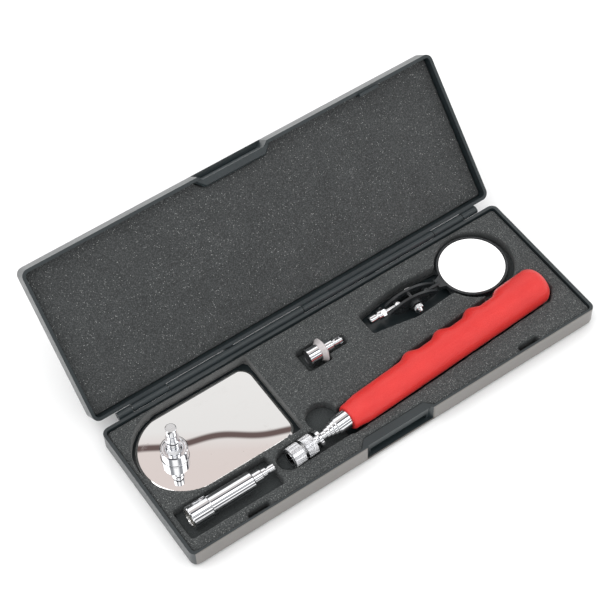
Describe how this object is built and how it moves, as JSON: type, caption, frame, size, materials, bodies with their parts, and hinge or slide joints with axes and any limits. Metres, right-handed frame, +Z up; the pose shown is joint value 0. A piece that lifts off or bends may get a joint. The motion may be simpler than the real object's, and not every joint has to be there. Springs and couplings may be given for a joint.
{
  "type": "inspection mirror kit",
  "caption": "Telescoping inspection tool kit: red-grip mast with quick-change chuck, ball-joint round mirror, plate mirror, magnets and penlight in an open hinged foam-lined case.",
  "frame": {"origin": "centre of the case's bottom face", "axes": "+X along the case towards the round mirror, +Y towards the hinge, +Z up"},
  "size_m": [0.255, 0.1587, 0.0803],
  "materials": {
    "case_plastic": "fine-textured blow-moulded charcoal plastic",
    "foam": "charcoal polyurethane foam, open cells, with pale flecks",
    "grip_red": "soft red vinyl with a fine matte grain",
    "chrome": "bright chrome plate",
    "steel": "plain turned steel",
    "backing_steel": "zinc-plated sheet",
    "mirror": "silvered glass",
    "magnet_iron": "dark nickel-plated magnet",
    "satin_zinc": "pale satin zinc",
    "cell_steel": "nickel-plated cell can",
    "seal_rubber": "black rubber",
    "lens": "clear moulded lens",
    "reflector": "vacuum-metallised cup",
    "diode": "clear epoxy diode",
    "black_plastic": "black moulded plastic",
    "brass": "plain brass"
  },
  "bodies": {
    "case": {"case_base": "case_plastic", "hinge_pin": "steel", "foam_tray": "foam", "foam_bed": "foam"},
    "lid": {"case_lid": "case_plastic", "lid_foam": "foam"},
    "handle": {"grip": "grip_red", "mast_tube": "chrome", "tube_plug": "steel"},
    "mast_1": {"mast_section_1": "chrome", "mast_bush_1": "brass"},
    "mast_2": {"mast_section_2": "chrome", "mast_bush_2": "brass"},
    "mast_3": {"mast_section_3": "chrome", "mast_bush_3": "brass"},
    "mast_4": {"mast_section_4": "chrome", "mast_bush_4": "brass", "mast_collar": "chrome", "chuck_body": "chrome", "lock_balls": "steel", "sleeve_spring": "steel", "sleeve_clip": "steel"},
    "chuck_sleeve": {"chuck_sleeve": "chrome"},
    "plate_mirror": {"plate_glass": "mirror", "plate_backing": "backing_steel"},
    "large_magnet": {"large_magnet_cup": "chrome", "large_magnet_core": "magnet_iron", "large_magnet_hub": "chrome"},
    "small_magnet": {"small_magnet_cup": "chrome", "small_magnet_core": "magnet_iron", "small_magnet_flange": "satin_zinc", "small_magnet_plug": "chrome"},
    "penlight": {"penlight_tube": "chrome", "penlight_plug": "chrome", "penlight_cells": "cell_steel", "penlight_spring": "steel", "penlight_seal": "seal_rubber"},
    "penlight_head": {"penlight_head": "chrome", "penlight_lens": "lens", "penlight_reflector": "reflector", "penlight_diode": "diode"},
    "ball_plug": {"ball_plug": "chrome"},
    "clamp": {"clamp_plate_front": "black_plastic", "clamp_plate_rear": "black_plastic", "clamp_nut": "steel"},
    "thumb_screw": {"thumb_screw": "chrome"},
    "round_mirror": {"mirror_bezel": "black_plastic", "round_glass": "mirror"}
  },
  "joints": [
    {"name": "lid_hinge", "type": "hinge", "parent": "case", "child": "lid", "pos_m": [0, 0.0465, 0.0125], "axis": [-1, 0, 0], "range_deg": [-104, 0]},
    {"name": "handle_lift", "type": "slide", "parent": "case", "child": "handle", "axis": [0, 0, 1], "range_m": [0, 0.43]},
    {"name": "mast_draw_1", "type": "slide", "parent": "handle", "child": "mast_1", "axis": [-0.9972, -0.0746, 0], "range_m": [0, 0.1]},
    {"name": "mast_draw_2", "type": "slide", "parent": "mast_1", "child": "mast_2", "axis": [-0.9972, -0.0746, 0], "range_m": [0, 0.1]},
    {"name": "mast_draw_3", "type": "slide", "parent": "mast_2", "child": "mast_3", "axis": [-0.9972, -0.0746, 0], "range_m": [0, 0.1]},
    {"name": "mast_draw_4", "type": "slide", "parent": "mast_3", "child": "mast_4", "axis": [-0.9972, -0.0746, 0], "range_m": [0, 0.1]},
    {"name": "sleeve_release", "type": "slide", "parent": "mast_4", "child": "chuck_sleeve", "axis": [0.9972, 0.0746, 0], "range_m": [0, 0.0016], "stiffness_N_per_m": 400, "springref_m": -0.002, "deforming": ["sleeve_spring"]},
    {"name": "plate_mirror_lift", "type": "slide", "parent": "case", "child": "plate_mirror", "axis": [0, 0, 1], "range_m": [0, 0.06]},
    {"name": "large_magnet_lift", "type": "slide", "parent": "plate_mirror", "child": "large_magnet", "axis": [0, 0, 1], "range_m": [0, 0.06]},
    {"name": "small_magnet_lift", "type": "slide", "parent": "case", "child": "small_magnet", "axis": [0, 0, 1], "range_m": [0, 0.06]},
    {"name": "penlight_lift", "type": "slide", "parent": "case", "child": "penlight", "axis": [0, 0, 1], "range_m": [0, 0.06]},
    {"name": "penlight_twist", "type": "hinge", "parent": "penlight", "child": "penlight_head", "pos_m": [-0.111, -0.0243, 0.0112], "axis": [1, 0, 0], "range_deg": [0, 90]},
    {"name": "round_mirror_lift", "type": "slide", "parent": "case", "child": "ball_plug", "axis": [0, 0, 1], "range_m": [0, 0.06]},
    {"name": "clamp_tilt", "type": "hinge", "parent": "ball_plug", "child": "clamp", "pos_m": [0.0445, 0.0213, 0.009], "axis": [-0.0958, -0.9954, 0], "range_deg": [0, 90]},
    {"name": "screw_turn", "type": "hinge", "parent": "clamp", "child": "thumb_screw", "pos_m": [0.05333, 0.02045, 0.009], "axis": [-0.0958, -0.9954, 0], "range_deg": [0, 360]},
    {"name": "mirror_tilt", "type": "hinge", "parent": "clamp", "child": "round_mirror", "pos_m": [0.06217, 0.0196, 0.009], "axis": [-0.0958, -0.9954, 0], "range_deg": [0, 90]}
  ],
  "couplings": [
    {"joint": "mast_draw_1", "follows": "handle_lift", "ratio": 0.23255},
    {"joint": "mast_draw_2", "follows": "handle_lift", "ratio": 0.23255},
    {"joint": "mast_draw_3", "follows": "handle_lift", "ratio": 0.23255},
    {"joint": "mast_draw_4", "follows": "handle_lift", "ratio": 0.23255}
  ]
}
